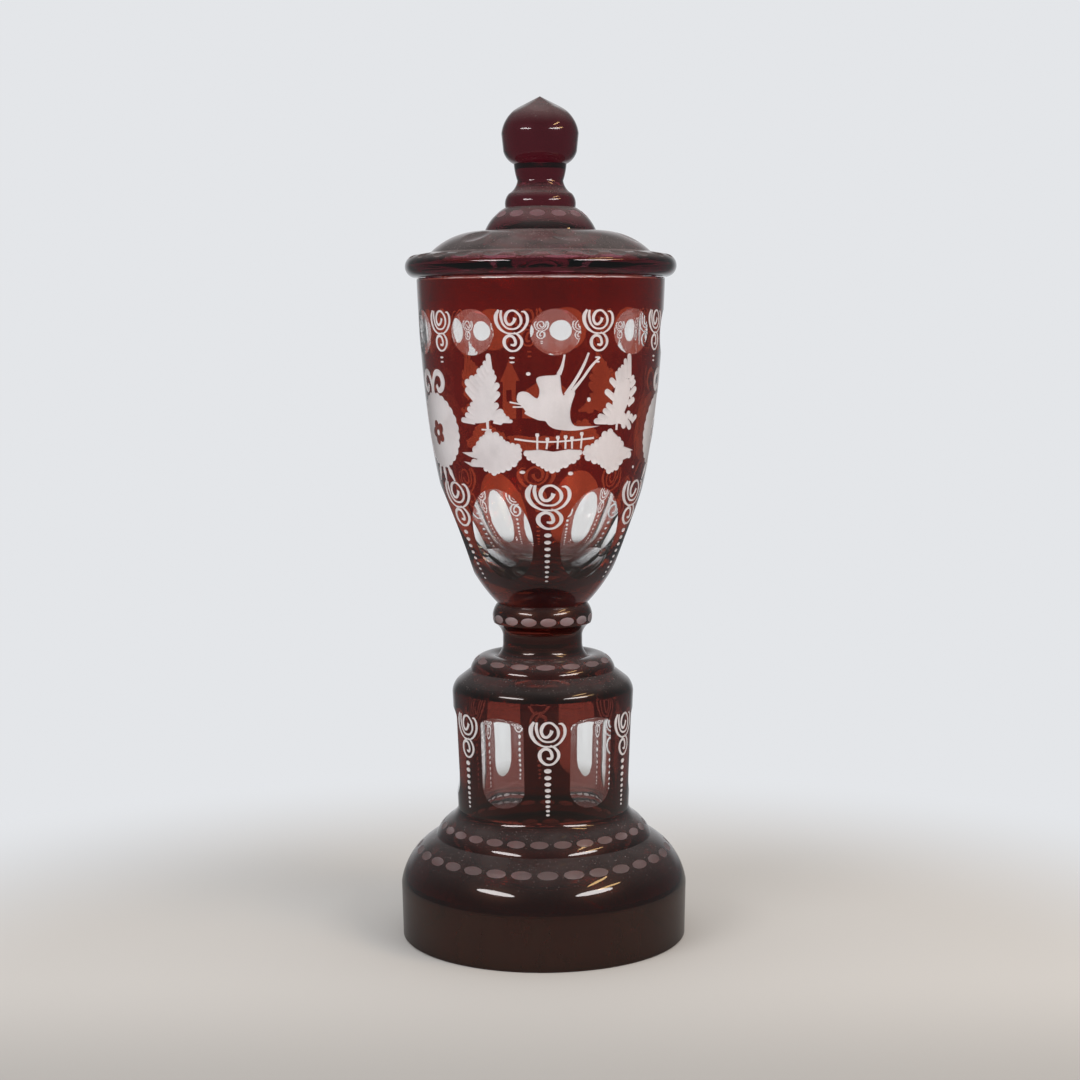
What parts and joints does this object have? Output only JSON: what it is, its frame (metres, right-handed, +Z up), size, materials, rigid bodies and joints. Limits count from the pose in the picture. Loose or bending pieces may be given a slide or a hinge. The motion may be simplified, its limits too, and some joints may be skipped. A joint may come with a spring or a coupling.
{
  "type": "lidded pokal goblet",
  "caption": "Tall covered goblet of ruby-stained cut glass: hollow foot and drum, short collared stem, deep tapering bowl with cut windows, and a domed lid with a knob finial that lifts off.",
  "frame": {"origin": "middle of the foot on the table", "axes": "+Z up along the axis of the goblet, front of the engraving towards -Y"},
  "size_m": [0.1244, 0.1244, 0.3611],
  "materials": {
    "ruby_glass": "polished glass with a fired ruby stain on its outside, cut through to clear glass in the windows",
    "engraved_glass": "matt wheel engraving through the stain"
  },
  "bodies": {
    "goblet": {"foot": "ruby_glass", "drum": "ruby_glass", "stem": "ruby_glass", "bowl": "ruby_glass"},
    "cover": {"lid": "ruby_glass", "finial": "ruby_glass"}
  },
  "joints": [
    {"name": "lid_lift", "type": "slide", "parent": "goblet", "child": "cover", "axis": [0, 0, 1], "range_m": [0, 0.12]}
  ]
}
